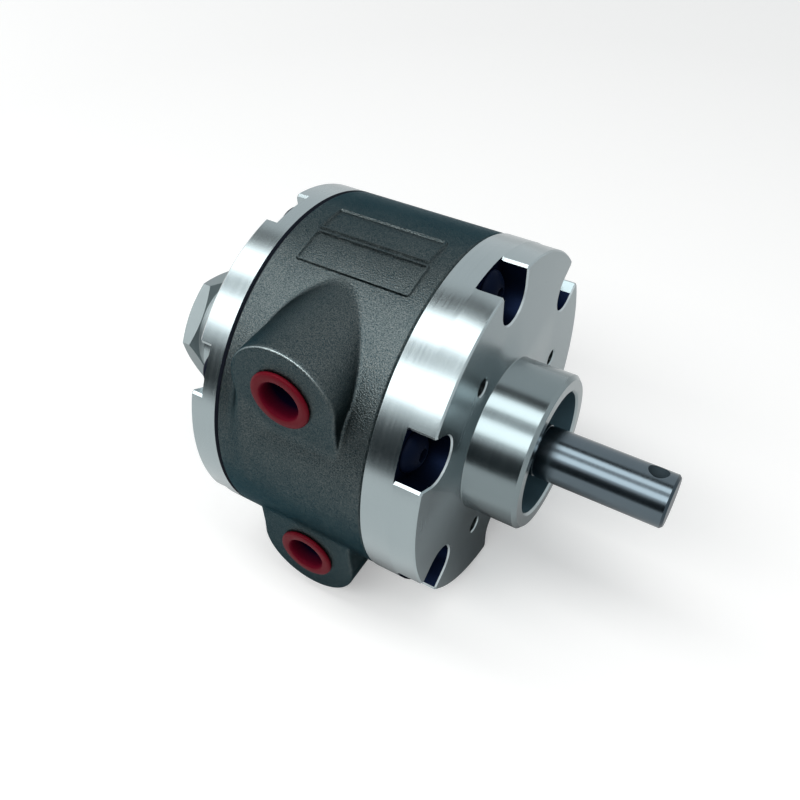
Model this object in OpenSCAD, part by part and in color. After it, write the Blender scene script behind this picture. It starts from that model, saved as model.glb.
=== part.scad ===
// Air motor: a four-vane motor with a cast housing, two machined end caps and a pilot hub.
// Millimetres. X runs along the shaft towards the output end, the ports face -Y, Z is up.
// The origin is on the shaft axis, in the plane of the drive cap's mounting face.

/* [Housing] */
// Outside diameter of the cast housing
housing_d = 85.4; // [70:0.1:110]
// Length of the housing between the two end caps
housing_length = 38.6; // [30:0.1:60]
// Wall from the outside to the bore that the vanes sweep
housing_wall = 10.2; // [9:0.1:16]
// Distance from the shaft axis to the axis of the bore
eccentricity = 3.1; // [1:0.05:4]

/* [Ports] */
// Height of each port above or below the shaft axis
port_offset = 26.7; // [22:0.1:28]
// Depth of the port faces inside the round of the housing
port_set_back = 3; // [0:0.1:6]
// Diameter of the boss at its face
boss_d = 26.2; // [20:0.1:28]
// Growth of the boss radius from its face to its root
boss_draft = 0.1; // [0:0.1:1.5]
// Diameter of the port at its mouth
port_d = 13.2; // [9:0.1:16]
// Distance that a port runs on from where it meets the bore
port_run_on = 3.3; // [1:0.1:6]

/* [End caps] */
// Step of the drive end cap over the housing, on the radius
drive_cap_step = 0.2; // [0:0.05:2]
// Thickness of the drive end cap
drive_cap_t = 13.5; // [11:0.1:20]
// Thickness of the dead end cap at its rim
dead_cap_t = 7.8; // [6:0.1:14]
// Distance from the round of the housing in to the circle of cap screws
screw_inset = 5.2; // [4.8:0.1:5.6]
// Width of the notches for the screw heads
notch_w = 11.4; // [10:0.1:12]
// Depth of the notches in the drive end cap
drive_notch_depth = 6.4; // [3:0.1:7]
// Depth of the notches in the dead end cap
dead_notch_depth = 3.5; // [2.9:0.1:4]

/* [Mounting] */
// Diameter of the pilot hub
hub_d = 38.1; // [34:0.05:42]
// Length of the pilot hub in front of the mounting face
hub_length = 13.4; // [8:0.1:25]
// Diameter of the hub's open bore
hub_bore_d = 30.06; // [29.4:0.01:31]
// Diameter of the tapped face holes before threading
face_hole_d = 4.2; // [3:0.1:5]
// Radius of the circle of face holes
face_hole_circle_r = 27.3; // [26:0.1:29]
// Depth of the face holes
face_hole_depth = 10; // [5:0.5:11]

/* [Shaft and rotor] */
// Diameter of the output shaft
shaft_d = 12.7; // [10:0.05:14]
// Distance from the mounting face to the end of the shaft
shaft_end = 42; // [30:0.5:70]
// Diameter of the cross hole near the end of the shaft
cross_hole_d = 4.8; // [2:0.1:6]
// Distance from the end of the shaft to the cross hole
cross_hole_back = 4.7; // [4:0.1:12]
// Turn of the cross hole about the shaft, from the port side upwards
cross_hole_turn = 107; // [0:1:180]
// Smallest gap between rotor and bore
rotor_gap = 0.3; // [0.1:0.05:0.6]
// Thickness of each vane
vane_t = 3; // [2:0.1:5]

/* [Rear plug] */
// Width across the flats of the rear plug
hex_af = 28; // [24:0.1:30]
// Thickness of the rear plug's hexagon
hex_t = 4.4; // [3:0.1:8]
// Length of the bearing boss behind the dead end cap
rear_boss_length = 16.6; // [12:0.1:24]

/* [Hidden] */
housing_r = housing_d / 2;
bore_r = housing_r - housing_wall;
drive_cap_r = housing_r + drive_cap_step;
screw_circle_r = housing_r - screw_inset;
port_face = housing_r - port_set_back;
body_front = -drive_cap_t;
body_rear = body_front - housing_length;
dead_face = body_rear - dead_cap_t;
boss_rear = dead_face - rear_boss_length;
plug_collar_t = 4;
hex_front = boss_rear - plug_collar_t;
hex_rear = hex_front - hex_t;
port_x = (body_front + body_rear) / 2;
port_y = eccentricity - port_face;
port_depth = port_face - sqrt(pow(bore_r, 2) - pow(port_offset - port_d / 2, 2)) + port_run_on;

bearing_r = 14.2875;
bearing_w = 7.94;
bearing_pitch_r = 10.65;
ball_r = 2.38;
ball_count = 7;
race_land = 1.55;
race_gap = 0.06;
ring_fit = 0.02;
journal_r = shaft_d / 2;
shoulder_r = journal_r + 1.65;
drive_bearing_rear = body_front + 3.4;
drive_bearing_front = drive_bearing_rear + bearing_w;
dead_bearing_front = body_rear - 0.3;
dead_bearing_rear = dead_bearing_front - bearing_w;
seal_seat = drive_bearing_front + 0.16;
seal_t = 6;

rotor_r = bore_r - eccentricity - rotor_gap;
rotor_side_gap = 0.2;
vane_side_gap = 0.05;
vane_rest_r = rotor_r - 0.15;
slot_bottom_r = 13.5;
vane_root_r = slot_bottom_r + 0.7;

head_r = 4.75;
head_t = 2.75;
screw_r = 2.5;
screw_length = 16;
screw_hole_r = 2.6;
cap_hole_r = 2.75;
drive_seat = -drive_notch_depth;
dead_seat = dead_face + dead_notch_depth;
dowel_r = 2;
dowel_circle_r = housing_r - housing_wall / 2;
rear_boss_r = 17.5;
rear_boss_edge = 1;
ring_groove_w = 2.1;
ring_groove_t = 1.6;
ring_cord_r = 0.75;
stem_r = 9.2;
stem_length = 12;
collar_r = 13.8;
plug_flange = 0.65;
plug_flange_t = 1;
plug_length = 9;
plug_wall = 1.5;
plug_floor_t = 1.2;

$fn = 96;

// A round bar along X from x0 to x1, with its radius at each end.
module rod(x0, x1, r0, r1) {
    translate([x0, 0, 0]) rotate([0, 90, 0]) cylinder(h = x1 - x0, r1 = r0, r2 = r1);
}

// A disc along X with a chamfer on both edges.
module disc(x0, x1, r, edge) {
    translate([x0, 0, 0]) rotate([0, 90, 0]) rotate_extrude()
        polygon([
            [0, 0], [r - edge, 0], [r, edge],
            [r, x1 - x0 - edge], [r - edge, x1 - x0], [0, x1 - x0]
        ]);
}

// Children move onto the axis that the housing, the bore and both caps share.
module on_housing_axis() {
    translate([0, eccentricity, 0]) children();
}

// Children go to the six screw places, where a notch stands straight up.
module at_screws() {
    on_housing_axis() for (k = [0:5]) rotate([60 * k, 0, 0]) translate([0, 0, screw_circle_r]) children();
}

// A pocket with a round inner end that runs out through the rim.
module notch(x0, x1) {
    rod(x0, x1, notch_w / 2, notch_w / 2, $fn = 48);
    translate([x0, -notch_w / 2, 0]) cube([x1 - x0, notch_w, 2 * screw_inset]);
}

module at_dowels() {
    on_housing_axis() for (a = [0, 180]) rotate([a, 0, 0]) translate([0, dowel_circle_r, 0]) children();
}

// A cylinder square to the port faces. Its depth counts inwards from the face.
module port_bar(side, from, to, r0, r1) {
    translate([port_x, port_y + from, side * port_offset])
        rotate([-90, 0, 0]) cylinder(h = to - from, r1 = r0, r2 = r1);
}

// A boss is round on its outer side and runs down to the body with straight sides.
module port_boss(side) {
    port_bar(side, 0, port_face - 12, boss_d / 2, boss_d / 2 + boss_draft);
    translate([port_x, port_y + (port_face - 14) / 2, side * port_offset / 2])
        cube([boss_d - 0.6, port_face - 14, port_offset], center = true);
}

module housing() {
    color("#3d4b4d") difference() {
        union() {
            on_housing_axis() disc(body_rear, body_front, housing_r, 0.5);
            port_boss(1);
            port_boss(-1);
        }
        on_housing_axis() rod(body_rear - 1, body_front + 1, bore_r, bore_r);
        for (side = [-1, 1]) {
            port_bar(side, -1, port_depth, port_d / 2 - 0.9, port_d / 2 - 0.9, $fn = 64);
            port_bar(side, 0, 10, port_d / 2, port_d / 2 - 0.9, $fn = 64);
            port_bar(side, -0.01, 0.5, port_d / 2 + 0.5, port_d / 2, $fn = 64);
        }
        at_screws() {
            rod(body_front - 12, body_front + 1, screw_hole_r, screw_hole_r, $fn = 32);
            rod(body_rear - 1, body_rear + 12.3, screw_hole_r, screw_hole_r, $fn = 32);
        }
        at_dowels() {
            rod(body_front - 5.3, body_front + 1, dowel_r, dowel_r, $fn = 32);
            rod(body_rear - 1, body_rear + 5.3, dowel_r, dowel_r, $fn = 32);
        }
    }
}

module drive_end_cap() {
    color("#c9cdcf") difference() {
        union() {
            on_housing_axis() disc(body_front, 0, drive_cap_r - 0.15, 0.7);
            on_housing_axis() disc(body_front, -6.2, drive_cap_r, 0.3);
            rod(-1, hub_length - 0.9, hub_d / 2, hub_d / 2);
            rod(hub_length - 0.9, hub_length, hub_d / 2, hub_d / 2 - 0.9);
        }
        rod(body_front - 1, 1, shoulder_r + 0.5, shoulder_r + 0.5, $fn = 64);
        rod(drive_bearing_rear, 1, bearing_r + ring_fit, bearing_r + ring_fit);
        rod(seal_seat, hub_length + 1, hub_bore_d / 2, hub_bore_d / 2);
        rod(hub_length - 0.5, hub_length + 0.01, hub_bore_d / 2, hub_bore_d / 2 + 0.5);
        at_screws() {
            notch(drive_seat, 1);
            rod(body_front - 1, 0, cap_hole_r, cap_hole_r, $fn = 32);
        }
        at_dowels() rod(body_front - 1, body_front + 5.3, dowel_r, dowel_r, $fn = 32);
        on_housing_axis() for (k = [0:2]) rotate([120 * k, 0, 0])
            translate([0, face_hole_circle_r, 0]) {
                rod(-face_hole_depth, 1, face_hole_d / 2, face_hole_d / 2, $fn = 32);
                rod(-0.3, 0.01, face_hole_d / 2, face_hole_d / 2 + 0.3, $fn = 32);
            }
    }
}

module dead_end_cap() {
    color("#c4c8ca") difference() {
        union() {
            on_housing_axis() disc(dead_face, body_rear, housing_r, 0.6);
            rod(boss_rear + rear_boss_edge, dead_face + 1, rear_boss_r, rear_boss_r);
            rod(boss_rear, boss_rear + rear_boss_edge, rear_boss_r - rear_boss_edge, rear_boss_r);
        }
        rod(dead_bearing_rear - 0.2, body_rear + 1, bearing_r + ring_fit, bearing_r + ring_fit);
        rod(boss_rear - 1, body_rear, stem_r + 0.1, stem_r + 0.1, $fn = 64);
        rod(
            boss_rear - 0.01, boss_rear + ring_groove_t,
            stem_r + ring_groove_w, stem_r + ring_groove_w, $fn = 64
        );
        at_screws() {
            notch(dead_face - 1, dead_seat);
            rod(dead_face, body_rear + 1, cap_hole_r, cap_hole_r, $fn = 32);
        }
        at_dowels() rod(body_rear - 4.3, body_rear + 1, dowel_r, dowel_r, $fn = 32);
    }
}

// A button head screw along X. The head is under the seat, towards -X.
module button_screw() {
    difference() {
        rotate([0, 90, 0]) rotate_extrude($fn = 24)
            polygon([
                [0, -head_t], [2.4, -head_t], [3.5, -head_t * 0.78],
                [4.3, -head_t * 0.46], [head_r, -0.4], [head_r, 0],
                [screw_r, 0], [screw_r, screw_length - 0.6],
                [screw_r - 0.6, screw_length], [0, screw_length]
            ]);
        rod(-head_t - 1, -head_t + 1.6, 1.73, 1.73, $fn = 6);
    }
}

module drive_end_screws() {
    color("#1c1d1f") at_screws() translate([drive_seat, 0, 0]) rotate([0, 180, 0]) button_screw();
}

module dead_end_screws() {
    color("#1c1d1f") at_screws() translate([dead_seat, 0, 0]) button_screw();
}

module dowel_pins() {
    color("#9a9da0") at_dowels() {
        rod(body_front - 5, body_front + 5, dowel_r, dowel_r, $fn = 32);
        rod(body_rear - 4, body_rear + 5, dowel_r, dowel_r, $fn = 32);
    }
}

module hex_end_plug() {
    corner_r = hex_af / sqrt(3);
    color("#bfc3c5") difference() {
        union() {
            intersection() {
                rotate([104.2, 0, 0]) translate([hex_rear, 0, 0]) rotate([0, 90, 0]) rotate([0, 0, 90])
                    cylinder(h = hex_t, r = corner_r, $fn = 6);
                disc(hex_rear, hex_front, corner_r + 0.1, 0.5);
            }
            rod(hex_front - 0.01, boss_rear, collar_r, collar_r);
            rod(boss_rear - 0.01, boss_rear + stem_length, stem_r, stem_r, $fn = 64);
        }
        rod(boss_rear + 3, boss_rear + stem_length + 1, stem_r - 2, stem_r - 2, $fn = 64);
    }
}

module end_plug_o_ring() {
    color("#161616") translate([boss_rear + ring_groove_t / 2, 0, 0]) rotate([0, 90, 0])
        rotate_extrude($fn = 64) translate([stem_r + ring_groove_w / 2, 0]) circle(r = ring_cord_r, $fn = 20);
}

module shaft_seal() {
    color("#202226") translate([seal_seat, 0, 0]) rotate([0, 90, 0]) rotate_extrude()
        polygon([
            [journal_r + 1.1, 0], [hub_bore_d / 2 - 0.03, 0], [hub_bore_d / 2 - 0.03, seal_t],
            [hub_bore_d / 2 - 2.4, seal_t], [hub_bore_d / 2 - 2.4, 1.4], [journal_r + 3.25, 1.4],
            [journal_r + 2.45, seal_t - 1.6], [journal_r + 0.9, seal_t - 0.8],
            [journal_r + 0.05, 4.6], [journal_r + 0.9, 3.6], [journal_r + 1.1, 1.6]
        ]);
}

// The profile of a race groove, as a circle at the pitch radius.
module groove() {
    translate([bearing_pitch_r, bearing_w / 2]) circle(r = ball_r + race_gap, $fn = 48);
}

module outer_ring(x0) {
    translate([x0, 0, 0]) rotate([0, 90, 0]) rotate_extrude() difference() {
        translate([bearing_pitch_r + race_land, 0])
            square([bearing_r - bearing_pitch_r - race_land, bearing_w]);
        groove();
    }
}

module inner_ring(x0) {
    translate([x0, 0, 0]) rotate([0, 90, 0]) rotate_extrude($fn = 64) difference() {
        translate([journal_r, 0]) square([bearing_pitch_r - race_land - journal_r, bearing_w]);
        groove();
    }
}

module at_balls(x0) {
    translate([x0 + bearing_w / 2, 0, 0])
        for (k = [0:ball_count - 1]) rotate([360 * k / ball_count, 0, 0])
            translate([0, bearing_pitch_r, 0]) children();
}

module balls(x0) {
    at_balls(x0) sphere(r = ball_r, $fn = 18);
}

// Two flat rings beside the balls, joined by a post between each pair of balls.
module cage(x0) {
    mid = x0 + bearing_w / 2;
    for (side = [-1, 1]) translate([mid + side * 2.95 - 0.4, 0, 0]) rotate([0, 90, 0])
        rotate_extrude($fn = 64) translate([bearing_pitch_r - 0.9, 0]) square([1.8, 0.8]);
    for (k = [0:ball_count - 1]) rotate([360 * (k + 0.5) / ball_count, 0, 0])
        translate([0, bearing_pitch_r, 0]) rod(mid - 2.7, mid + 2.7, 0.7, 0.7, $fn = 20);
}

module drive_bearing_outer_ring() { color("#a7abae") outer_ring(drive_bearing_rear); }
module drive_bearing_inner_ring() { color("#a7abae") inner_ring(drive_bearing_rear); }
module drive_bearing_balls() { color("#c8cbcd") balls(drive_bearing_rear); }
module drive_bearing_cage() { color("#8c8f91") cage(drive_bearing_rear); }
module dead_bearing_outer_ring() { color("#a7abae") outer_ring(dead_bearing_rear); }
module dead_bearing_inner_ring() { color("#a7abae") inner_ring(dead_bearing_rear); }
module dead_bearing_balls() { color("#c8cbcd") balls(dead_bearing_rear); }
module dead_bearing_cage() { color("#8c8f91") cage(dead_bearing_rear); }

module rotor_drum() {
    rear = body_rear + rotor_side_gap;
    front = body_front - rotor_side_gap;
    slot_w = vane_t + 2 * vane_side_gap;
    color("#7d8184") difference() {
        rod(rear, front, rotor_r, rotor_r);
        rod(rear - 1, front + 1, shoulder_r, shoulder_r, $fn = 64);
        for (k = [0:3]) rotate([45 + 90 * k, 0, 0])
            translate([rear - 1, slot_bottom_r, -slot_w / 2]) cube([front - rear + 2, rotor_r, slot_w]);
    }
}

module shaft() {
    color("#8f9396") difference() {
        union() {
            rod(dead_bearing_rear - 1.4, dead_bearing_rear - 0.6, journal_r - 0.8, journal_r, $fn = 64);
            rod(dead_bearing_rear - 0.6, shaft_end - 0.6, journal_r, journal_r, $fn = 64);
            rod(shaft_end - 0.6, shaft_end, journal_r, journal_r - 0.6, $fn = 64);
            rod(dead_bearing_front, drive_bearing_rear, shoulder_r, shoulder_r, $fn = 64);
        }
        difference() {
            rod(hub_length - 2, hub_length - 1.2, shoulder_r, shoulder_r, $fn = 64);
            rod(hub_length - 3, hub_length, journal_r - 0.2, journal_r - 0.2, $fn = 64);
        }
        translate([shaft_end - cross_hole_back, 0, 0]) rotate([-cross_hole_turn, 0, 0])
            rotate([90, 0, 0]) cylinder(h = 3 * journal_r, r = cross_hole_d / 2, center = true, $fn = 32);
    }
}

// A vane at rest, pushed right into its slot.
module vane(turn) {
    rear = body_rear + rotor_side_gap;
    front = body_front - rotor_side_gap;
    tip = vane_rest_r - vane_root_r;
    color("#3a3026") rotate([turn, 0, 0]) translate([rear, vane_root_r, 0]) rotate([90, 0, 90])
        linear_extrude(height = front - rear)
            polygon([
                [0, -vane_t / 2], [tip - 0.7, -vane_t / 2], [tip, -vane_t / 4],
                [tip, vane_t / 4], [tip - 0.7, vane_t / 2], [0, vane_t / 2]
            ]);
}

module vane_1() { vane(45); }
module vane_2() { vane(135); }
module vane_3() { vane(225); }
module vane_4() { vane(315); }

// A plastic cup that closes a port while the motor is shipped.
module port_plug(side) {
    color("#b3202c") difference() {
        union() {
            port_bar(side, -plug_flange_t, 0, port_d / 2 + plug_flange, port_d / 2 + plug_flange, $fn = 64);
            port_bar(side, -0.01, plug_length, port_d / 2 - 0.35, port_d / 2 - 1.15, $fn = 64);
        }
        port_bar(
            side, -2, plug_length - plug_floor_t,
            port_d / 2 - 0.35 - plug_wall, port_d / 2 - 0.8 - plug_wall, $fn = 64
        );
    }
}

module upper_port_plug() { port_plug(1); }
module lower_port_plug() { port_plug(-1); }

housing();
drive_end_cap();
dead_end_cap();
drive_end_screws();
dead_end_screws();
dowel_pins();
hex_end_plug();
end_plug_o_ring();
shaft_seal();
drive_bearing_outer_ring();
drive_bearing_inner_ring();
drive_bearing_balls();
drive_bearing_cage();
dead_bearing_outer_ring();
dead_bearing_inner_ring();
dead_bearing_balls();
dead_bearing_cage();
rotor_drum();
shaft();
vane_1();
vane_2();
vane_3();
vane_4();
upper_port_plug();
lower_port_plug();
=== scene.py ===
import math

import bmesh
import bpy
import numpy as np
from mathutils import Matrix


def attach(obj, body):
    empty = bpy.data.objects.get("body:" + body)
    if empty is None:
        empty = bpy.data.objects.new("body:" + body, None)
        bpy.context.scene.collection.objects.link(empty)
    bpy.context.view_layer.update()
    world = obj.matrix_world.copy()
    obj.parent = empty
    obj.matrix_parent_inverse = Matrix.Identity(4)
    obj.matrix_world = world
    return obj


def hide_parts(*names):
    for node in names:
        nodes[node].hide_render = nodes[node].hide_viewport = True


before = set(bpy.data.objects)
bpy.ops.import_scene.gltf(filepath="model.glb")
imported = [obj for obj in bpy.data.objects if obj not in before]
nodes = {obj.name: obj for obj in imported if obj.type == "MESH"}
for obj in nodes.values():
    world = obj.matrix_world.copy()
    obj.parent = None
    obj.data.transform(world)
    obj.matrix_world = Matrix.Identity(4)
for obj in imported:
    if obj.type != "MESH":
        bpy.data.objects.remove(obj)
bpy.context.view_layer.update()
scene = bpy.context.scene

# Floor, camera and lights.
# The motor rests on the round of its drive cap on a plain pale floor, under two long soft boxes.
# The camera stands where the outlines of the photograph put it.
floor_height = -0.04291
floor_radius = 4.0
floor_glow_near = 0.19
floor_glow_far = 0.86
floor_glow_span = (0.35, 2.4)
floor_glow_camera = 0.11


def finish(name, **sockets):
    """A material, with the sockets of its shader that are the same all over."""
    material = bpy.data.materials.new(name)
    material.use_nodes = True
    shader = material.node_tree.nodes["Principled BSDF"]
    for label, value in sockets.items():
        shader.inputs[label.replace("_", " ")].default_value = value
    return material, material.node_tree, shader


def calculate(tree, operation, *values):
    node = tree.nodes.new("ShaderNodeMath")
    node.operation = operation
    for socket, value in zip(node.inputs, values):
        if isinstance(value, (int, float)):
            socket.default_value = value
        else:
            tree.links.new(value, socket)
    return node.outputs[0]


def remap(tree, source, low, high, span):
    node = tree.nodes.new("ShaderNodeMapRange")
    node.inputs["From Min"].default_value = span[0]
    node.inputs["From Max"].default_value = span[1]
    node.inputs["To Min"].default_value = low
    node.inputs["To Max"].default_value = high
    tree.links.new(source, node.inputs["Value"])
    return node.outputs["Result"]


def blend(tree, mask, dark, light):
    node = tree.nodes.new("ShaderNodeMix")
    node.data_type = "RGBA"
    for label, colour in (("A", dark), ("B", light)):
        if isinstance(colour, tuple):
            node.inputs[label].default_value = (*colour, 1)
        else:
            tree.links.new(colour, node.inputs[label])
    tree.links.new(mask, node.inputs["Factor"])
    return node.outputs["Result"]


def tint(tree, shader, mask, dark, light):
    tree.links.new(blend(tree, mask, dark, light), shader.inputs["Base Color"])


def object_place(tree):
    return tree.nodes.new("ShaderNodeTexCoord").outputs["Object"]


def seen_rays(tree):
    """Two masks: rays from the camera, off metal or through glass, and rays from the camera alone."""
    path = tree.nodes.new("ShaderNodeLightPath")
    from_camera = path.outputs["Is Camera Ray"]
    seen = calculate(tree, "MAXIMUM", from_camera, path.outputs["Is Glossy Ray"])
    return calculate(tree, "MAXIMUM", seen, path.outputs["Is Transmission Ray"]), from_camera


bpy.ops.mesh.primitive_circle_add(
    vertices=96, radius=floor_radius, fill_type="NGON", location=(0, 0, floor_height)
)
floor = bpy.context.object
floor.name = "floor"
floor_paint, tree, shader = finish(
    "floor_paint", Roughness=0.9, Specular_IOR_Level=0.2, Emission_Color=(1.0, 1.0, 1.0, 1)
)
mottle = tree.nodes.new("ShaderNodeTexNoise")
mottle.inputs["Scale"].default_value = 3.0
tint(tree, shader, mottle.outputs["Fac"], (0.80, 0.80, 0.80), (0.84, 0.84, 0.84))
away = tree.nodes.new("ShaderNodeVectorMath")
away.operation = "LENGTH"
tree.links.new(object_place(tree), away.inputs[0])
lift = remap(tree, away.outputs["Value"], floor_glow_near, floor_glow_far, floor_glow_span)
seen, from_camera = seen_rays(tree)
lifted = calculate(tree, "MULTIPLY", seen, lift)
glow = calculate(tree, "MULTIPLY_ADD", from_camera, floor_glow_camera, lifted)
tree.links.new(glow, shader.inputs["Emission Strength"])
floor.data.materials.append(floor_paint)

camera_data = bpy.data.cameras.new("camera")
camera = bpy.data.objects.new("camera", camera_data)
scene.collection.objects.link(camera)
camera_data.sensor_width = 36.0
camera_data.lens = 37.75
camera_data.clip_start = 0.01
camera.matrix_world = Matrix((
    (0.85703, -0.34828, 0.37974, 0.05281),
    (0.51468, 0.61363, -0.59880, -0.12640),
    (-0.02447, 0.70864, 0.70515, 0.14631),
    (0, 0, 0, 1),
))
scene.camera = camera
scene.view_settings.view_transform = "Standard"

for name, place, length, width, watts in (
    ("overhead_strip", (-0.20, -0.06, 1.0), 2.0, 0.34, 7.6),
    ("front_strip", (-0.20, -0.90, 1.0), 2.0, 0.68, 15.2),
):
    strip = bpy.data.lights.new(name, "AREA")
    strip.shape = "RECTANGLE"
    strip.size = length
    strip.size_y = width
    strip.energy = watts
    strip.color = (1.0, 0.995, 0.98)
    lamp = bpy.data.objects.new(name, strip)
    scene.collection.objects.link(lamp)
    lamp.location = place

# Dark cloths stand behind the camera and hang above, so that metal has something dark to show.
cloth, tree, shader = finish("dark_cloth", Roughness=1.0, Specular_IOR_Level=0.0)
weave = tree.nodes.new("ShaderNodeTexNoise")
weave.inputs["Scale"].default_value = 40.0
tint(tree, shader, weave.outputs["Fac"], (0.020, 0.030, 0.036), (0.035, 0.048, 0.056))
for name, corners in (
    ("back_cloth", [(-1.9, -1.5, -0.04), (1.5, -1.5, -0.04), (1.5, -1.5, 0.80), (-1.9, -1.5, 0.80)]),
    ("table_cloth", [(-1.9, -1.5, -0.042), (1.5, -1.5, -0.042), (1.5, -0.42, -0.042), (-1.9, -0.42, -0.042)]),
    ("ceiling_cloth", [(-1.6, 0.15, 1.0), (1.0, 0.15, 1.0), (1.0, 0.42, 1.0), (-1.6, 0.42, 1.0)]),
):
    mesh = bpy.data.meshes.new(name)
    mesh.from_pydata(corners, [], [(0, 1, 2, 3)])
    mesh.materials.append(cloth)
    drape = bpy.data.objects.new(name, mesh)
    scene.collection.objects.link(drape)
    drape.visible_camera = False
    drape.visible_shadow = False

# A dark card lies under the motor, fading out round it, so that the metal shows a shadow below.
card_paint, tree, shader = finish(
    "dark_card", Base_Color=(0.045, 0.060, 0.068, 1), Roughness=1.0, Specular_IOR_Level=0.0
)
falloff = tree.nodes.new("ShaderNodeTexGradient")
falloff.gradient_type = "SPHERICAL"
tree.links.new(object_place(tree), falloff.inputs["Vector"])
tree.links.new(remap(tree, falloff.outputs["Fac"], 0.0, 0.80, (0.0, 0.53)), shader.inputs["Alpha"])
bpy.ops.mesh.primitive_circle_add(
    vertices=96, radius=1.0, fill_type="NGON", location=(-0.030, 0.0031, floor_height + 0.0001)
)
card = bpy.context.object
card.name = "shadow_card"
card.scale = (0.075, 0.055, 1.0)
card.data.materials.append(card_paint)
card.visible_camera = False
card.visible_shadow = False
card.visible_diffuse = False

# The room is pale to the camera and in metal, and lights the motor dimly from all round.
world = bpy.data.worlds.new("studio")
scene.world = world
world.use_nodes = True
tree = world.node_tree
tree.nodes.clear()
walls = tree.nodes.new("ShaderNodeBackground")
walls.inputs["Color"].default_value = (0.92, 0.94, 0.95, 1)
fill = tree.nodes.new("ShaderNodeBackground")
fill.inputs["Color"].default_value = (0.80, 0.90, 0.95, 1)
fill.inputs["Strength"].default_value = 0.16
seen = seen_rays(tree)[0]
choose = tree.nodes.new("ShaderNodeMixShader")
tree.links.new(seen, choose.inputs[0])
tree.links.new(fill.outputs[0], choose.inputs[1])
tree.links.new(walls.outputs[0], choose.inputs[2])
target = tree.nodes.new("ShaderNodeOutputWorld")
tree.links.new(choose.outputs[0], target.inputs["Surface"])

# Housing.
# A grey-green iron casting, round with two port bosses that run into it with soft fillets.
# Its faces for the caps and its bore are machined, and two blank outlined panels stand on top.
housing_axis_y = 0.0031
housing_radius = 0.0427
housing_front = -0.0135
housing_rear = -0.0521
housing_edge = 0.0005
housing_bore = 0.0325
port_x = -0.0328
port_z = 0.0267
port_face_y = -0.0366
boss_radius = 0.0131
boss_draft = 0.0001
boss_depth = 0.0277
port_radius = 0.0064
port_depth = 0.0110
grain_voxel = 0.00042
boss_waist = 0.0003
waist_fade = 0.0040
boss_edge = 0.0006
boss_fillet = 0.0005
lower_fillet = 0.0035
lower_fillet_x = -0.0385
fillet_fade = 0.006
blank_spare = 0.004
boss_blank = 0.026


def shader_group(name, inputs, outputs):
    group = bpy.data.node_groups.new(name, "ShaderNodeTree")
    for label, kind, value in inputs:
        socket = group.interface.new_socket(name=label, in_out="INPUT", socket_type=kind)
        socket.default_value = value
    for label, kind in outputs:
        group.interface.new_socket(name=label, in_out="OUTPUT", socket_type=kind)
    entry = group.nodes.new("NodeGroupInput")
    leave = group.nodes.new("NodeGroupOutput")
    return group, entry, leave


def place_group(tree, group, **values):
    node = tree.nodes.new("ShaderNodeGroup")
    node.node_tree = group
    for label, value in values.items():
        node.inputs[label.replace("_", " ")].default_value = value
    return node


def roughen(tree, shader, mask, rough, span):
    tree.links.new(remap(tree, mask, *rough, span), shader.inputs["Roughness"])


def bump(tree, shader, height, strength, depth):
    node = tree.nodes.new("ShaderNodeBump")
    node.inputs["Strength"].default_value = strength
    node.inputs["Distance"].default_value = depth
    tree.links.new(height, node.inputs["Height"])
    tree.links.new(node.outputs["Normal"], shader.inputs["Normal"])


cast_grain, entry, leave = shader_group(
    "cast_grain",
    [("Scale", "NodeSocketFloat", 1.0)],
    [("Height", "NodeSocketFloat"), ("Tone", "NodeSocketFloat")],
)
place = object_place(cast_grain)
fine = cast_grain.nodes.new("ShaderNodeTexNoise")
fine.inputs["Detail"].default_value = 4.0
fine.inputs["Roughness"].default_value = 0.65
coarse = cast_grain.nodes.new("ShaderNodeTexNoise")
coarse.inputs["Detail"].default_value = 2.0
pits = cast_grain.nodes.new("ShaderNodeTexVoronoi")
for texture, texture_scale in ((fine, 3600.0), (coarse, 160.0), (pits, 2600.0)):
    cast_grain.links.new(place, texture.inputs["Vector"])
    scaled = calculate(cast_grain, "MULTIPLY", entry.outputs["Scale"], texture_scale)
    cast_grain.links.new(scaled, texture.inputs["Scale"])
pebble = calculate(cast_grain, "MULTIPLY_ADD", pits.outputs["Distance"], 0.8, fine.outputs["Fac"])
cast_grain.links.new(
    calculate(cast_grain, "MULTIPLY_ADD", coarse.outputs["Fac"], 0.25, pebble), leave.inputs["Height"]
)
drift = calculate(cast_grain, "MULTIPLY_ADD", coarse.outputs["Fac"], 0.08, 0.46)
cast_grain.links.new(calculate(cast_grain, "MULTIPLY", fine.outputs["Fac"], drift), leave.inputs["Tone"])

cast_paint, tree, shader = finish("cast_paint", Metallic=1.0, Specular_Tint=(0.28, 0.36, 0.40, 1))
grain = place_group(tree, cast_grain, Scale=1.0)
paint = blend(
    tree, remap(tree, grain.outputs["Tone"], 0.0, 1.0, (0.16, 0.38)),
    (0.012, 0.028, 0.036), (0.138, 0.154, 0.150),
)
split = tree.nodes.new("ShaderNodeSeparateXYZ")
tree.links.new(object_place(tree), split.inputs[0])
# Painted highlight: a thin band round the upper edge of the upper port face is lightened, broken up by the
# grain.
past_face = calculate(tree, "GREATER_THAN", split.outputs["Y"], port_face_y + 0.00006)
near_face = calculate(tree, "LESS_THAN", split.outputs["Y"], port_face_y + 0.00028)
upper_edge = remap(tree, split.outputs["Z"], 0.0, 1.0, (port_z + 0.0050, port_z + 0.0120))
highlight_breakup = remap(tree, grain.outputs["Height"], 0.0, 1.0, (0.55, 1.0))
painted_edge_highlight = calculate(tree, "MULTIPLY", calculate(tree, "MULTIPLY", past_face, near_face), upper_edge)
tint(tree, shader, calculate(tree, "MULTIPLY", painted_edge_highlight, highlight_breakup), paint, (0.34, 0.40, 0.41))
roughen(tree, shader, grain.outputs["Tone"], (0.34, 0.28), (0.1, 0.45))
bump(tree, shader, grain.outputs["Height"], 0.62, 0.00012)


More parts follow.
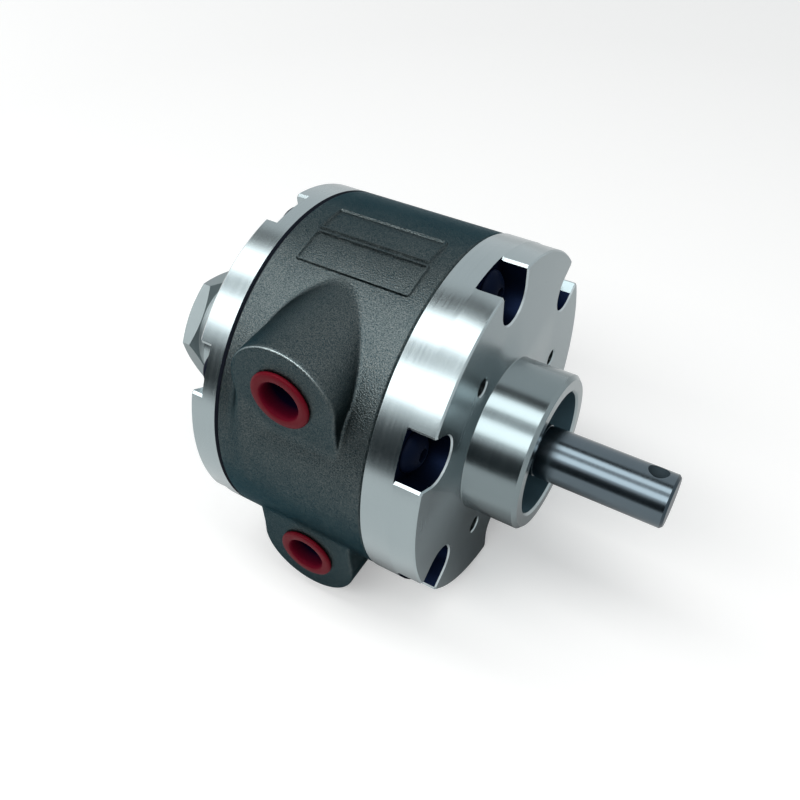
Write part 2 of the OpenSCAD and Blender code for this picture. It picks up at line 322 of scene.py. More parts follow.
def round_union(a, b, radius):
    inside_a = np.maximum(radius - a, 0)
    inside_b = np.maximum(radius - b, 0)
    return np.maximum(radius, np.minimum(a, b)) - np.sqrt(inside_a ** 2 + inside_b ** 2)


def round_overlap(a, b, radius):
    outside_a = np.maximum(radius + a, 0)
    outside_b = np.maximum(radius + b, 0)
    return np.minimum(-radius, np.maximum(a, b)) + np.sqrt(outside_a ** 2 + outside_b ** 2)


def casting_distance(points):
    """How far points lie outside the casting: a round body, two bosses, and the two ports cut out."""
    x, y, z = points.T
    body = np.hypot(y - housing_axis_y, z) - housing_radius
    depth = y - port_face_y
    shape = body
    for side in (1, -1):
        outward = side * z - port_z
        waist = boss_waist * np.clip(-outward / waist_fade, 0, 1)
        radius = boss_radius - waist + boss_draft * np.clip(depth / boss_depth, 0, 1)
        beside = np.hypot(x - port_x, np.maximum(outward, 0))
        boss = np.maximum(round_overlap(beside - radius, -depth, boss_edge), depth - boss_depth)
        boss = np.maximum(boss, -side * z)
        leftward = np.clip((lower_fillet_x - x) / fillet_fade, 0, 1)
        lower_left = leftward * np.clip((fillet_fade - outward) / fillet_fade, 0, 1)
        shape = round_union(shape, boss, boss_fillet + lower_fillet * lower_left * (side > 0))
    for side in (1, -1):
        beside = np.hypot(x - port_x, z - side * port_z)
        shape = np.maximum(shape, -np.maximum(beside - port_radius, depth - port_depth))
    return shape


def settle(points, distance, rounds):
    """Move points along the slope of a distance until they lie on its surface."""
    step = 1e-6
    for _ in range(rounds):
        value = distance(points)
        slope = np.stack([
            (distance(points + step * axis) - distance(points - step * axis)) / (2 * step)
            for axis in np.eye(3)
        ], 1)
        size = np.maximum((slope ** 2).sum(1), 0.25)
        move = np.clip(value / size, -0.0004, 0.0004)
        points = points - slope * move[:, None]
    return points


def piece(bm, name, material, body, replaced=(), crease=30):
    mesh = bpy.data.meshes.new(name)
    bmesh.ops.recalc_face_normals(bm, faces=bm.faces)
    bm.to_mesh(mesh)
    bm.free()
    mesh.shade_smooth()
    mesh.set_sharp_from_angle(angle=math.radians(crease))
    mesh.materials.append(material)
    made = bpy.data.objects.new(name, mesh)
    scene.collection.objects.link(made)
    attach(made, body)
    if replaced:
        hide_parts(*replaced)
    return made


blank = bmesh.new()
along_x = Matrix.Rotation(math.pi / 2, 4, "Y")
along_y = Matrix.Rotation(math.pi / 2, 4, "X")
bmesh.ops.create_cone(
    blank, cap_ends=True, segments=180, radius1=housing_radius, radius2=housing_radius,
    depth=housing_front - housing_rear + blank_spare,
    matrix=Matrix.Translation(((housing_front + housing_rear) / 2, housing_axis_y, 0)) @ along_x,
)
for side in (1, -1):
    bmesh.ops.create_cone(
        blank, cap_ends=True, segments=96, radius1=boss_radius, radius2=boss_radius, depth=boss_blank,
        matrix=Matrix.Translation((port_x, port_face_y + boss_blank / 2, side * port_z)) @ along_y,
    )
    bmesh.ops.create_cube(
        blank, size=1.0,
        matrix=Matrix.Translation((port_x, port_face_y + boss_blank / 2, side * port_z / 2))
        @ Matrix.Diagonal((2 * boss_radius - 2 * boss_waist, boss_blank, port_z, 1)),
    )
blank_mesh = bpy.data.meshes.new("casting_blank")
blank.to_mesh(blank_mesh)
blank.free()
blank_object = bpy.data.objects.new("casting_blank", blank_mesh)
scene.collection.objects.link(blank_object)
drill = bmesh.new()
for side in (1, -1):
    bmesh.ops.create_cone(
        drill, cap_ends=True, segments=96, radius1=port_radius, radius2=port_radius, depth=2 * port_depth,
        matrix=Matrix.Translation((port_x, port_face_y, side * port_z)) @ along_y,
    )
drill_mesh = bpy.data.meshes.new("port_drill")
drill.to_mesh(drill_mesh)
drill.free()
drill_object = bpy.data.objects.new("port_drill", drill_mesh)
scene.collection.objects.link(drill_object)
joined = blank_object.modifiers.new("joined", "REMESH")
joined.mode = "VOXEL"
joined.voxel_size = grain_voxel
bored = blank_object.modifiers.new("bored", "BOOLEAN")
bored.operation = "DIFFERENCE"
bored.object = drill_object
even = blank_object.modifiers.new("even", "REMESH")
even.mode = "VOXEL"
even.voxel_size = grain_voxel
seen_blank = blank_object.evaluated_get(bpy.context.evaluated_depsgraph_get())
casting = bmesh.new()
casting.from_mesh(seen_blank.to_mesh())
seen_blank.to_mesh_clear()
bpy.data.objects.remove(blank_object)
bpy.data.objects.remove(drill_object)

points = np.array([vert.co for vert in casting.verts])
inner = (points[:, 0] > housing_rear - 0.001) & (points[:, 0] < housing_front + 0.001)
points[inner] = settle(points[inner], casting_distance, 6)
for vert, point in zip(casting.verts, points):
    vert.co = point
for plane_x, outward in ((housing_front - housing_edge, 1), (housing_rear + housing_edge, -1)):
    bmesh.ops.bisect_plane(
        casting, geom=casting.verts[:] + casting.edges[:] + casting.faces[:], dist=1e-7,
        plane_co=(plane_x, 0, 0), plane_no=(outward, 0, 0), clear_outer=True,
    )
for end_x in (housing_front, housing_rear):
    rim = [
        edge for edge in casting.edges
        if edge.is_boundary and abs(edge.verts[0].co.x - end_x) < 0.0008
    ]
    for radius, x in (
        (housing_radius - housing_edge, end_x),
        (housing_bore, end_x),
        (housing_bore, (housing_front + housing_rear) / 2),
    ):
        grown = bmesh.ops.extrude_edge_only(casting, edges=rim)["geom"]
        for vert in [item for item in grown if isinstance(item, bmesh.types.BMVert)]:
            off = math.hypot(vert.co.y - housing_axis_y, vert.co.z)
            vert.co.x = x
            vert.co.y = housing_axis_y + (vert.co.y - housing_axis_y) * radius / off
            vert.co.z = vert.co.z * radius / off
        rim = [item for item in grown if isinstance(item, bmesh.types.BMEdge)]
piece(casting, "housing_casting", cast_paint, "motor_case", ["housing"], 40)

panel_line = 0.0008
panel_rise = 0.00048
panel_skirt = 0.0002
panel_corner = 0.0006


def band(bm, first, second):
    for i in range(len(first)):
        j = (i + 1) % len(first)
        bm.faces.new((first[i], first[j], second[j], second[i]))


def bands(bm, rings):
    for first, second in zip(rings, rings[1:]):
        band(bm, first, second)


def raised_panel(name, x0, x1, turn0, turn1):
    """A blank box outlined by a raised line, from x0 to x1 and turn0 to turn1 round the casting."""
    bm = bmesh.new()
    middle_turn = math.radians((turn0 + turn1) / 2)
    half_w = (x1 - x0) / 2
    half_h = math.radians(turn1 - turn0) * housing_radius / 2
    rings = []
    for inset, rise in (
        (-panel_line / 2 - panel_skirt, -panel_skirt), (-panel_line / 2, 0.0001),
        (-panel_line / 4, panel_rise), (panel_line / 4, panel_rise),
        (panel_line / 2, 0.0001), (panel_line / 2 + panel_skirt, -panel_skirt),
    ):
        ring = []
        for along, up, start in ((1, 1, 0), (-1, 1, 90), (-1, -1, 180), (1, -1, 270)):
            for k in range(9):
                angle = math.radians(start + 90 * k / 8)
                px = along * (half_w - panel_corner) + (panel_corner - inset) * math.cos(angle)
                ph = up * (half_h - panel_corner) + (panel_corner - inset) * math.sin(angle)
                ring.append((px, ph))
        dense = []
        for k, (px, ph) in enumerate(ring):
            qx, qh = ring[(k + 1) % len(ring)]
            pieces = 30 if k % 9 == 8 else 1
            for j in range(pieces):
                dense.append((px + (qx - px) * j / pieces, ph + (qh - ph) * j / pieces))
        verts = []
        for px, ph in dense:
            turn = middle_turn + ph / housing_radius
            radius = housing_radius + rise
            verts.append(bm.verts.new((
                (x0 + x1) / 2 + px,
                housing_axis_y + radius * math.cos(turn),
                radius * math.sin(turn),
            )))
        rings.append(verts)
    bands(bm, rings)
    piece(bm, name, cast_paint, "motor_case", (), 60)


raised_panel("upper_panel", -0.0465, -0.0190, 83.5, 94.6)
raised_panel("side_panel", -0.0461, -0.0181, 96.4, 108.0)

# Drive end cap.
# Turned from aluminium bar about the housing axis, with six notches milled for the screw heads.
# The pilot hub stands on it about the shaft axis, so it is off the cap's centre.
turned_marks, entry, leave = shader_group(
    "turned_marks",
    [("Pitch", "NodeSocketFloat", 1.0), ("Axis Y", "NodeSocketFloat", 0.0)],
    [("Height", "NodeSocketFloat"), ("Tone", "NodeSocketFloat")],
)
place = object_place(turned_marks)
split = turned_marks.nodes.new("ShaderNodeSeparateXYZ")
turned_marks.links.new(place, split.inputs[0])
off_y = calculate(turned_marks, "SUBTRACT", split.outputs["Y"], entry.outputs["Axis Y"])
square_y = calculate(turned_marks, "MULTIPLY", off_y, off_y)
square_z = calculate(turned_marks, "MULTIPLY", split.outputs["Z"], split.outputs["Z"])
radius = calculate(turned_marks, "SQRT", calculate(turned_marks, "ADD", square_y, square_z))
swirl = calculate(turned_marks, "ARCTAN2", split.outputs["Z"], off_y)
groove = turned_marks.nodes.new("ShaderNodeCombineXYZ")
pitch = calculate(turned_marks, "MULTIPLY", entry.outputs["Pitch"], 4000.0)
turned_marks.links.new(calculate(turned_marks, "MULTIPLY", radius, pitch), groove.inputs["X"])
turned_marks.links.new(calculate(turned_marks, "MULTIPLY", split.outputs["X"], pitch), groove.inputs["Y"])
turned_marks.links.new(calculate(turned_marks, "MULTIPLY", swirl, 0.6), groove.inputs["Z"])
lines = turned_marks.nodes.new("ShaderNodeTexNoise")
lines.inputs["Scale"].default_value = 1.0
lines.inputs["Detail"].default_value = 3.0
turned_marks.links.new(groove.outputs[0], lines.inputs["Vector"])
cloud = turned_marks.nodes.new("ShaderNodeTexNoise")
cloud.inputs["Scale"].default_value = 90.0
cloud.inputs["Detail"].default_value = 3.0
turned_marks.links.new(place, cloud.inputs["Vector"])
turned_marks.links.new(lines.outputs["Fac"], leave.inputs["Height"])
half_lines = calculate(turned_marks, "MULTIPLY", lines.outputs["Fac"], 0.5)
half_cloud = calculate(turned_marks, "MULTIPLY", cloud.outputs["Fac"], 0.5)
turned_marks.links.new(calculate(turned_marks, "ADD", half_lines, half_cloud), leave.inputs["Tone"])


def marked(name, marks_group, marks_values, span, dark, light, rough, relief, sockets):
    material, tree, shader = finish(name, **sockets)
    marks = place_group(tree, marks_group, **marks_values)
    tint(tree, shader, marks.outputs["Tone"], dark, light)
    roughen(tree, shader, marks.outputs["Tone"], rough, span)
    bump(tree, shader, marks.outputs["Height"], *relief)
    return material


def turned(name, pitch, axis_y, dark, light, rough, relief, **sockets):
    """A finish with the fine rings that a lathe leaves round an axis."""
    values = {"Pitch": pitch, "Axis_Y": axis_y}
    return marked(name, turned_marks, values, (0.3, 0.7), dark, light, rough, relief, sockets)


def grained(name, scale, dark, light, rough, relief, **sockets):
    """A finish with a fine even grain."""
    return marked(name, cast_grain, {"Scale": scale}, (0.1, 0.45), dark, light, rough, relief, sockets)


cap_aluminium = turned(
    "cap_aluminium", pitch=1.0, axis_y=housing_axis_y, Metallic=1.0,
    dark=(0.300, 0.355, 0.370), light=(0.370, 0.432, 0.448), rough=(0.18, 0.28), relief=(0.06, 0.00002),
)
# The front face keeps its own faced marks and roughness, with a darker colour that is painted shade.
cap_faced_and_shaded = turned(
    "cap_faced_and_shaded", pitch=0.8, axis_y=housing_axis_y, Metallic=1.0,
    dark=(0.192, 0.242, 0.258), light=(0.236, 0.290, 0.307), rough=(0.23, 0.28), relief=(0.05, 0.00002),
)
hub_polished = turned(
    "hub_polished", pitch=1.3, axis_y=0.0, Metallic=1.0,
    dark=(0.172, 0.214, 0.226), light=(0.230, 0.278, 0.290), rough=(0.16, 0.26), relief=(0.25, 0.00002),
)
# The hub bore's wall is a dull teal instead of bright metal: a painted reflection of the light that shows in
# it.
bore_painted_reflection = turned(
    "bore_painted_reflection", pitch=0.7, axis_y=0.0, Metallic=0.0,
    dark=(0.040, 0.085, 0.110), light=(0.060, 0.115, 0.145), rough=(0.38, 0.52), relief=(0.05, 0.00002),
)
# Near-black for the walls and floors of the notches: painted shade in the notches, on a milled grain.
notch_painted_shade = grained(
    "notch_painted_shade", scale=0.6, Metallic=1.0, Specular_Tint=(0.06, 0.07, 0.11, 1),
    dark=(0.003, 0.007, 0.024), light=(0.014, 0.022, 0.046), rough=(0.58, 0.42), relief=(0.1, 0.00004),
)
# A light finish for the chamfers at the notch mouths: a painted highlight along them.
notch_edge_highlight = grained(
    "notch_edge_highlight", scale=0.8, Metallic=1.0,
    dark=(0.40, 0.46, 0.48), light=(0.60, 0.66, 0.68), rough=(0.40, 0.28), relief=(0.1, 0.00002),
)


def circle(bm, x, radius, axis_y=0.0, count=144, centre_z=0.0, start=0.0):
    turns = [start + 2 * math.pi * k / count for k in range(count)]
    return [
        bm.verts.new((x, axis_y + radius * math.cos(turn), centre_z + radius * math.sin(turn)))
        for turn in turns
    ]


def flat_between(bm, loops):
    """Fill the flat face between an outline and the loops inside it."""
    edges = []
    for loop in loops:
        for i, vert in enumerate(loop):
            pair = (vert, loop[(i + 1) % len(loop)])
            edges.append(bm.edges.get(pair) or bm.edges.new(pair))
    bmesh.ops.triangle_fill(bm, use_beauty=True, edges=edges)


screw_circle = 0.0375
screw_clearance = 0.00275
notch_half = 0.0057
notch_edge = 0.0006
notch_angles = [30 + 60 * k for k in range(6)]
land_steps = 26
mouth_steps = 8
end_steps = 16
drive_cap_radius = 0.0429
drive_notch_floor = -0.0064
hub_radius = 0.01905
hub_end = 0.0134
hub_bore = 0.01503
bearing_seat = 0.01431
face_hole_edge = 0.0003


def notch_path(x, angle, outer, half):
    """The side of a notch from the rim round its inner end and back to the rim, as points."""
    corner = math.sqrt(outer ** 2 - (half + notch_edge) ** 2)
    edge = math.sqrt(outer ** 2 - half ** 2) - notch_edge
    flat = [(corner, -half - notch_edge)] + [(edge + (screw_circle - edge) * k / 3, -half) for k in (0, 1, 2)]
    inner_end = [
        (screw_circle - half * math.sin(math.pi * k / end_steps), -half * math.cos(math.pi * k / end_steps))
        for k in range(end_steps + 1)
    ]
    back = [(along, -across) for along, across in reversed(flat)]
    cosine = math.cos(math.radians(angle))
    sine = math.sin(math.radians(angle))
    return [
        (x, housing_axis_y + a * cosine - b * sine, a * sine + b * cosine)
        for a, b in flat + inner_end + back
    ]


def notched_ring(bm, x, outer, half):
    """The outline of a notched plate at one height, with the same points at every height."""
    ring = []
    spread_angle = math.degrees(math.asin((half + notch_edge) / outer))
    for angle in notch_angles:
        ring += [bm.verts.new(point) for point in notch_path(x, angle, outer, half)]
        start = angle + spread_angle
        end = angle + 60 - spread_angle
        for k in range(1, land_steps):
            turn = math.radians(start + (end - start) * k / land_steps)
            ring.append(bm.verts.new((x, housing_axis_y + outer * math.cos(turn), outer * math.sin(turn))))
    return ring


def notched_plate(bm, base_x, floor_x, band_levels, levels, hub, face_holes):
    """A cap: a full disc up to the notch floors, a notched disc above, and a hub turned about the shaft."""
    path_points = end_steps + 9
    top = [notched_ring(bm, x, outer, half) for x, outer, half in levels]
    bands(bm, top)
    foot = top[0]
    floor_outer = levels[0][1]
    spread_angle = math.degrees(math.asin((levels[0][2] + notch_edge) / floor_outer))
    rim = []
    per_notch = path_points + land_steps - 1
    mouths = []
    for k, angle in enumerate(notch_angles):
        group = foot[k * per_notch:(k + 1) * per_notch]
        side = group[:path_points]
        mouth = []
        for j in range(1, mouth_steps):
            turn = math.radians(angle - spread_angle + 2 * spread_angle * j / mouth_steps)
            mouth.append(bm.verts.new((
                floor_x, housing_axis_y + floor_outer * math.cos(turn), floor_outer * math.sin(turn)
            )))
        rim += [side[0]] + mouth + [side[-1]] + group[path_points:]
        mouths.append((side, mouth, angle))
    clear = []
    for side, mouth, angle in mouths:
        y = housing_axis_y + screw_circle * math.cos(math.radians(angle))
        z = screw_circle * math.sin(math.radians(angle))
        hole = circle(bm, floor_x, screw_clearance, y, 24, z)
        through = circle(bm, base_x, screw_clearance, y, 24, z)
        band(bm, hole, through)
        clear.append(through)
        flat_between(bm, [side + list(reversed(mouth)), hole])
    lower = [rim]
    for x, outer in band_levels:
        ring = []
        for vert in rim:
            turn = math.atan2(vert.co.z, vert.co.y - housing_axis_y)
            ring.append(bm.verts.new((x, housing_axis_y + outer * math.cos(turn), outer * math.sin(turn))))
        lower.append(ring)
    bands(bm, lower)
    centre = [circle(bm, x, radius) for x, radius in hub]
    bands(bm, centre)
    loops = [top[-1], centre[0]]
    face_x = levels[-1][0]
    for angle, away, radius, depth in face_holes:
        y = housing_axis_y + away * math.cos(math.radians(angle))
        z = away * math.sin(math.radians(angle))
        sunk = [
            circle(bm, face_x, radius + face_hole_edge, y, 32, z),
            circle(bm, face_x - face_hole_edge, radius, y, 32, z),
            circle(bm, face_x - depth, radius, y, 32, z),
            circle(bm, face_x - depth - 0.0012, 0.0001, y, 32, z),
        ]
        bands(bm, sunk)
        bm.faces.new(sunk[-1])
        loops.append(sunk[0])
    flat_between(bm, loops)
    flat_between(bm, [lower[-1], centre[-1]] + clear)


def finish_faces(made, material, chosen):
    """Give the faces that a test picks, by their centre and normal, a second material."""
    made.data.materials.append(material)
    place = len(made.data.materials) - 1
    for polygon in made.data.polygons:
        if chosen(polygon.center, polygon.normal):
            polygon.material_index = place


def from_axis(center):
    return math.hypot(center.y - housing_axis_y, center.z)


def from_shaft(center):
    return math.hypot(center.y, center.z)


def facing_out(center, normal):
    across = center.y - housing_axis_y
    return (normal.y * across + normal.z * center.z) / from_axis(center)


def in_notch(center, normal):
    """Whether a face is a wall of a notch."""
    return 0.0300 < from_axis(center) < 0.0419 and abs(normal.x) < 0.2


def on_notch_edge(center, normal):
    """Whether a face is a chamfer at the mouth of a notch."""
    reach = from_axis(center)
    beside_rim = 0.5 < facing_out(center, normal) < 0.95 and abs(normal.x) < 0.2 and reach > 0.0417
    beside_face = 0.3 < abs(normal.x) < 0.95 and reach < 0.04195
    return 0.0300 < reach < 0.0430 and (beside_rim or beside_face)


bm = bmesh.new()
notched_plate(
    bm, housing_front, drive_notch_floor,
    [(-0.0132, drive_cap_radius), (housing_front, 0.0426)],
    [
        (drive_notch_floor, drive_cap_radius, notch_half), (-0.0062, drive_cap_radius, notch_half),
        (-0.00585, 0.04275, notch_half), (-0.0004, 0.04275, notch_half), (0.0, 0.04240, notch_half + 0.00028),
    ],
    [
        (0.0, 0.01935), (0.0001, 0.01915), (0.0003, hub_radius), (0.0125, hub_radius), (hub_end, 0.01815),
        (hub_end, 0.01553), (0.0129, hub_bore), (-0.0020, hub_bore), (-0.0020, bearing_seat),
        (-0.0101, bearing_seat), (-0.0101, 0.0085), (housing_front, 0.0085),
    ],
    [(120 * k, 0.0273, 0.0021, 0.010) for k in range(3)],
)
drive_cap = piece(
    bm, "drive_cap_turned", cap_aluminium, "motor_case", ["drive_end_cap"]
)
# The front face gets the faced finish, darkened as painted shade.
finish_faces(drive_cap, cap_faced_and_shaded, lambda center, normal: center.x > -0.0002 and normal.x > 0.9)
finish_faces(drive_cap, hub_polished, lambda center, normal: (
    center.x > 0.00001 and from_shaft(center) > 0.0155
))
# The wall of the hub bore gets the painted reflection.
finish_faces(drive_cap, bore_painted_reflection, lambda center, normal: (
    center.x > -0.0019 and 0.0130 < from_shaft(center) < 0.01506 and abs(normal.x) < 0.2
))
# The walls and floors of the notches are painted near-black as shade.
finish_faces(drive_cap, notch_painted_shade, lambda center, normal: -0.0065 < center.x < -0.0003 and (
    in_notch(center, normal) or normal.x > 0.95
))
# The outer walls of the notch high on the side away from the ports get the lighter faced colour instead of
# the painted notch shade, as a painted highlight.
finish_faces(drive_cap, cap_faced_and_shaded, lambda center, normal: -0.0060 < center.x < -0.0003 and (
    in_notch(center, normal) and center.y > 0.0300 and center.z > 0 and center.y + center.z > 0.0545
))
# The chamfers at the notch mouths get the painted highlight.
finish_faces(drive_cap, notch_edge_highlight, lambda center, normal: -0.0065 < center.x < -0.00001 and (
    on_notch_edge(center, normal)
))

# Dead end cap.
# Turned from the same aluminium, thinner, with shallow notches and a plain boss over the rear bearing.
# The small step at its joint with the casting is dark.
joint_dark = grained(
    "joint_dark", scale=1.0, Metallic=0.0, Specular_IOR_Level=0.1,
    dark=(0.004, 0.006, 0.012), light=(0.012, 0.016, 0.024), rough=(0.8, 0.6), relief=(0.1, 0.00003),
)
dead_notch_floor = -0.0564
dead_face = -0.0599
dead_boss_rear = -0.0765
bm = bmesh.new()
notched_plate(
    bm, housing_rear, dead_notch_floor,
    [(-0.0527, housing_radius), (housing_rear, 0.0421)],
    [
        (dead_notch_floor, housing_radius, notch_half), (-0.0593, housing_radius, notch_half),
        (-0.05972, 0.04228, notch_half), (dead_face, 0.0421, notch_half + 0.0002),
    ],
    [
        (dead_face, 0.0178), (-0.0602, 0.0175), (-0.0755, 0.0175), (dead_boss_rear, 0.0165),
        (dead_boss_rear, 0.0113), (-0.0749, 0.0113), (-0.0749, 0.0093), (-0.06054, 0.0093),
        (-0.06054, bearing_seat), (housing_rear, bearing_seat),
    ],
    [],
)
dead_cap = piece(bm, "dead_cap_turned", cap_aluminium, "motor_case", ["dead_end_cap"])
finish_faces(dead_cap, joint_dark, lambda center, normal: center.x > -0.0527 and normal.x > 0.3)

# Cap screws.
# Black button head screws with a hex socket, six down in the notches of each cap.
screw_black = grained(
    "screw_black", scale=1.4, Metallic=0.0, Specular_IOR_Level=0.03,
    dark=(0.001, 0.003, 0.011), light=(0.006, 0.010, 0.024), rough=(0.60, 0.42), relief=(0.25, 0.00004),
)
screw_thread = 0.0025
head_top = 0.00275
socket_radius = 0.00173


def button_screws(name, seat_x, outward, replaced):
    bm = bmesh.new()
    for angle in notch_angles:
        y = housing_axis_y + screw_circle * math.cos(math.radians(angle))
        z = screw_circle * math.sin(math.radians(angle))
        profile = [
            (-0.0160, 0.0019), (-0.0154, screw_thread), (0.0, screw_thread), (0.0, 0.0046),
            (0.00015, 0.00475), (0.0005, 0.00475), (0.0010, 0.00452), (0.0016, 0.0040),
            (0.0021, 0.0034), (0.0025, 0.0027), (0.00272, 0.0022), (head_top, 0.0019),
        ]
        rings = [circle(bm, seat_x + outward * x, radius, y, 48, z) for x, radius in profile]
        bands(bm, rings)
        bm.faces.new(rings[0])
        socket = [circle(bm, seat_x + outward * x, socket_radius, y, 6, z) for x in (head_top, 0.0012)]
        band(bm, socket[0], socket[1])
        bm.faces.new(socket[1])
        flat_between(bm, [rings[-1], socket[0]])
    piece(bm, name, screw_black, "motor_case", replaced)


button_screws("drive_cap_screws", drive_notch_floor, 1, ["drive_end_screws"])
button_screws("dead_cap_screws", dead_notch_floor, -1, ["dead_end_screws"])

# Rear plug.
# A hexagonal aluminium plug with a round collar, screwed into the boss behind the rear bearing.
plug_satin = turned(
    "plug_satin", pitch=0.7, axis_y=0.0, Metallic=1.0,
    dark=(0.220, 0.260, 0.270), light=(0.300, 0.345, 0.355), rough=(0.42, 0.60), relief=(0.25, 0.00002),
)
hex_turn = 104.2
hex_steps = 96
hex_flat = 0.014
hex_front = -0.0805
hex_back = -0.0849
hex_chamfer_radius = 0.0137
plug_stem = 0.0092
plug_hollow = 0.0072


def hex_ring(bm, x, inward):
    """A hexagon whose corners are chamfered back along the axis."""
    ring = []
    for k in range(hex_steps):
        turn = math.radians(hex_turn + 360 * k / hex_steps)
        within = math.radians((360 * k / hex_steps) % 60 - 30)
        reach = hex_flat / math.cos(within)
        slope = max(0.0, reach - hex_chamfer_radius) * 0.45
        ring.append(bm.verts.new((x + inward * slope, reach * math.cos(turn), reach * math.sin(turn))))
    return ring


def plug_rings(bm, profile):
    start = math.radians(hex_turn)
    return [circle(bm, x, radius, count=hex_steps, start=start) for x, radius in profile]


bm = bmesh.new()
rings = plug_rings(bm, [(hex_back, 0.0060), (hex_back, hex_chamfer_radius)])
rings += [hex_ring(bm, hex_back, 1), hex_ring(bm, hex_front, -1)]
rings += plug_rings(bm, [
    (hex_front, hex_chamfer_radius), (hex_front + 0.0002, 0.0136), (hex_front + 0.0005, 0.0138),
    (-0.0768, 0.0138), (dead_boss_rear, 0.0135), (dead_boss_rear, plug_stem), (-0.0650, plug_stem),
    (-0.0645, 0.0087), (-0.0645, plug_hollow), (-0.0735, plug_hollow),
])
bands(bm, rings)
bm.faces.new(rings[0])
bm.faces.new(rings[-1])
piece(bm, "rear_plug_hex", plug_satin, "motor_case", ["hex_end_plug"])

# Port plugs.
# Soft red plastic cups, moulded with a thin rim, pushed into the ports until the motor is piped up.
plug_red = grained(
    "plug_red", scale=0.35, Metallic=0.0, Specular_IOR_Level=0.06,
    dark=(0.115, 0.003, 0.010), light=(0.175, 0.007, 0.016), rough=(0.48, 0.30), relief=(0.08, 0.0001),
)
# Inside the cups the red darkens to near black with depth: painted shade in the hollow.
plug_inside_shade, tree, shader = finish("plug_inside_shade", Metallic=0.0, Specular_IOR_Level=0.05)
marks = place_group(tree, cast_grain, Scale=0.35)
split = tree.nodes.new("ShaderNodeSeparateXYZ")
tree.links.new(object_place(tree), split.inputs[0])
sunk = remap(tree, split.outputs["Y"], 0.0, 1.0, (port_face_y + 0.0030, port_face_y - 0.0004))
tint(tree, shader, sunk, (0.002, 0.0008, 0.011), (0.110, 0.002, 0.012))
roughen(tree, shader, marks.outputs["Tone"], (0.70, 0.50), (0.1, 0.45))
bump(tree, shader, marks.outputs["Height"], 0.08, 0.0001)
cup_steps = 96
rim_front = -0.0010
cup_mouth = 0.0050
for name, side, node in (("upper_cup", 1, "upper_port_plug"), ("lower_cup", -1, "lower_port_plug")):
    bm = bmesh.new()
    profile = [
        (0.0090, 0.0050), (0.0086, 0.00545), (0.0, 0.00625), (0.0, 0.0070), (-0.00025, 0.00725),
        (-0.0006, 0.00725), (-0.00088, 0.00710), (rim_front, 0.00680), (rim_front, 0.00530),
        (-0.00092, 0.00506), (-0.0007, 0.00485), (-0.0003, 0.00472), (0.0004, 0.00466), (0.0030, 0.00455),
        (0.0072, 0.00432), (0.0077, 0.0039), (0.0078, 0.0030),
    ]
    rings = []
    for depth, radius in profile:
        turns = [2 * math.pi * k / cup_steps for k in range(cup_steps)]
        rings.append([
            bm.verts.new((
                port_x + radius * math.cos(turn), port_face_y + depth, side * port_z + radius * math.sin(turn)
            ))
            for turn in turns
        ])
    bands(bm, rings)
    bm.faces.new(rings[0])
    bm.faces.new(rings[-1])
    cup = piece(bm, name, plug_red, "motor_case", [node], 50)
    # The hollow of each cup gets the painted shade.
    finish_faces(cup, plug_inside_shade, lambda center, normal: (
        math.hypot(center.x - port_x, abs(center.z) - port_z) < cup_mouth
        and center.y > port_face_y - 0.00095
    ))

# Shaft.
# Ground steel, with a chamfered end and a cross hole through it.
shaft_ground = turned(
    "shaft_ground", pitch=1.6, axis_y=0.0, Metallic=1.0,
    dark=(0.088, 0.116, 0.136), light=(0.122, 0.154, 0.176), rough=(0.17, 0.24), relief=(0.2, 0.00001),
)
# The cross hole's wall: rougher drilled steel, lightened to a grey-teal that is a painted reflection.
drilled_steel_and_reflection = grained(
    "drilled_steel_and_reflection", scale=0.8, Metallic=0.3,
    dark=(0.060, 0.090, 0.110), light=(0.120, 0.160, 0.185), rough=(0.50, 0.36), relief=(0.1, 0.00003),
)
shaft_end = turned(
    "shaft_end", pitch=1.6, axis_y=0.0, Metallic=1.0,
    dark=(0.030, 0.046, 0.058), light=(0.055, 0.076, 0.092), rough=(0.34, 0.46), relief=(0.1, 0.00001),
)


def dress(names, material):
    for name in names:
        nodes[name].data.materials.clear()
        nodes[name].data.materials.append(material)


dress(["shaft"], shaft_ground)
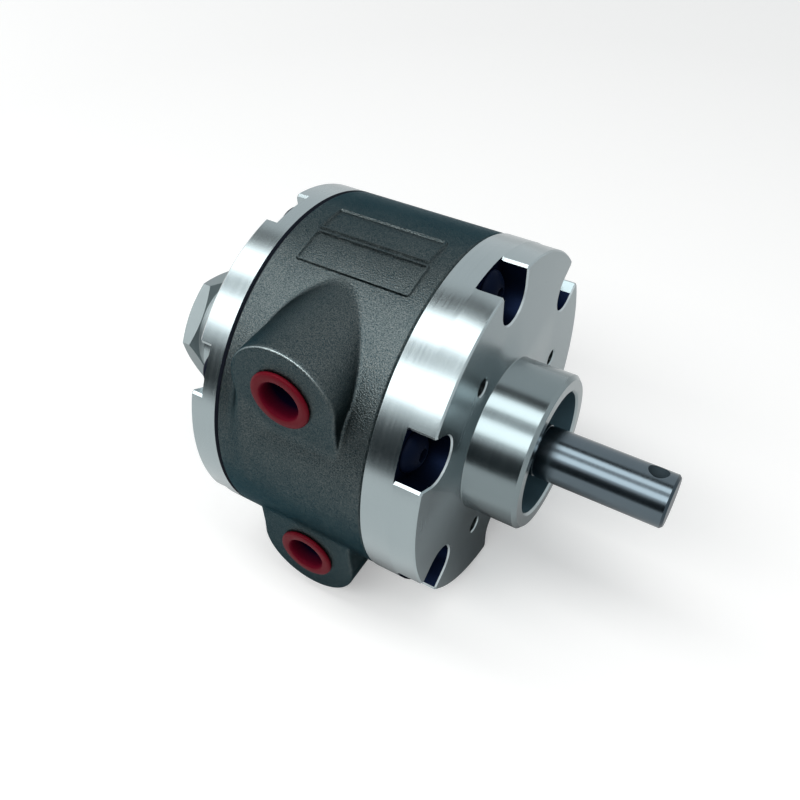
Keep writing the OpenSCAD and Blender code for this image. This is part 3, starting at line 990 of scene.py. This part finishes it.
# The cross hole's wall gets the drilled finish with its painted reflection.
finish_faces(nodes["shaft"], drilled_steel_and_reflection, lambda center, normal: (
    center.x > 0.030 and from_shaft(center) < 0.0061 and abs(normal.x) < 0.999
    and abs(normal.y * center.y + normal.z * center.z) < 0.9 * from_shaft(center)
))
finish_faces(nodes["shaft"], shaft_end, lambda center, normal: center.x > 0.040 and normal.x > 0.3)

# Seals.
# The lip seal in the hub and the ring under the rear plug, moulded from black rubber.
seal_black = grained(
    "seal_black", scale=0.8, Metallic=0.0,
    dark=(0.006, 0.014, 0.022), light=(0.020, 0.036, 0.050), rough=(0.65, 0.45), relief=(0.1, 0.00005),
)
dress(["shaft_seal", "end_plug_o_ring"], seal_black)

# Bearings and dowels.
# Hardened rings and balls with pressed steel cages, and ground dowels that line up the caps.
bearing_bright = turned(
    "bearing_bright", pitch=1.2, axis_y=0.0, Metallic=1.0,
    dark=(0.50, 0.51, 0.52), light=(0.62, 0.63, 0.64), rough=(0.10, 0.24), relief=(0.15, 0.00001),
)
cage_pressed = grained(
    "cage_pressed", scale=0.5, Metallic=1.0,
    dark=(0.38, 0.37, 0.35), light=(0.50, 0.49, 0.46), rough=(0.45, 0.28), relief=(0.1, 0.00003),
)
for end in ("drive", "dead"):
    dress([end + "_bearing_outer_ring", end + "_bearing_inner_ring", end + "_bearing_balls"], bearing_bright)
    dress([end + "_bearing_cage"], cage_pressed)
dress(["dowel_pins"], bearing_bright)

# Rotor and vanes.
# A slotted iron drum pressed on the shaft, with four vanes of brown fibre board.
rotor_iron = turned(
    "rotor_iron", pitch=0.8, axis_y=0.0, Metallic=1.0,
    dark=(0.26, 0.27, 0.28), light=(0.38, 0.39, 0.40), rough=(0.30, 0.48), relief=(0.2, 0.00002),
)
vane_board = grained(
    "vane_board", scale=0.6, Metallic=0.0,
    dark=(0.060, 0.035, 0.018), light=(0.120, 0.070, 0.036), rough=(0.7, 0.5), relief=(0.2, 0.00006),
)
dress(["rotor_drum"], rotor_iron)
dress(["vane_1", "vane_2", "vane_3", "vane_4"], vane_board)
